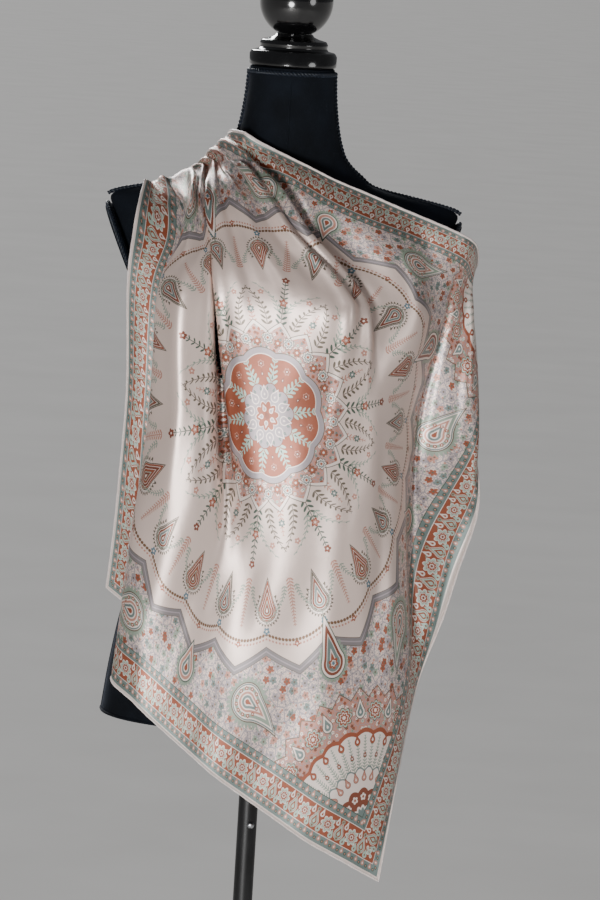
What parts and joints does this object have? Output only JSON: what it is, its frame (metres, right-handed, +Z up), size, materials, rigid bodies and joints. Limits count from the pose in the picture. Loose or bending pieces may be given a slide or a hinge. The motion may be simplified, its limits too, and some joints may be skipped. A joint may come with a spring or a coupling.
{
  "type": "silk square scarf on a dress form",
  "caption": "Printed silk square scarf draped from one shoulder of a black velvet dress form with a turned neck cap, round finial, pole and flat round base.",
  "frame": {"origin": "centre of the base's underside on the floor, under the pole's axis", "axes": "+Z up along the pole, the form's chest faces -Y, +X towards the form's own left shoulder"},
  "size_m": [0.437, 0.34, 1.588],
  "materials": {
    "silk": "printed silk satin",
    "velvet": "black velvet",
    "lacquer": "gloss black lacquer on turned wood",
    "steel": "satin black paint"
  },
  "bodies": {
    "root": {"base_plate": "steel", "base_hub": "steel", "pole": "steel", "carrier_plate": "steel", "form_body": "velvet", "arm_plate_right": "velvet", "arm_plate_left": "velvet", "neck_cap": "lacquer", "finial": "lacquer", "scarf_strip": "silk", "scarf_front": "silk", "scarf_flap": "silk", "scarf_back": "silk"}
  },
  "joints": []
}
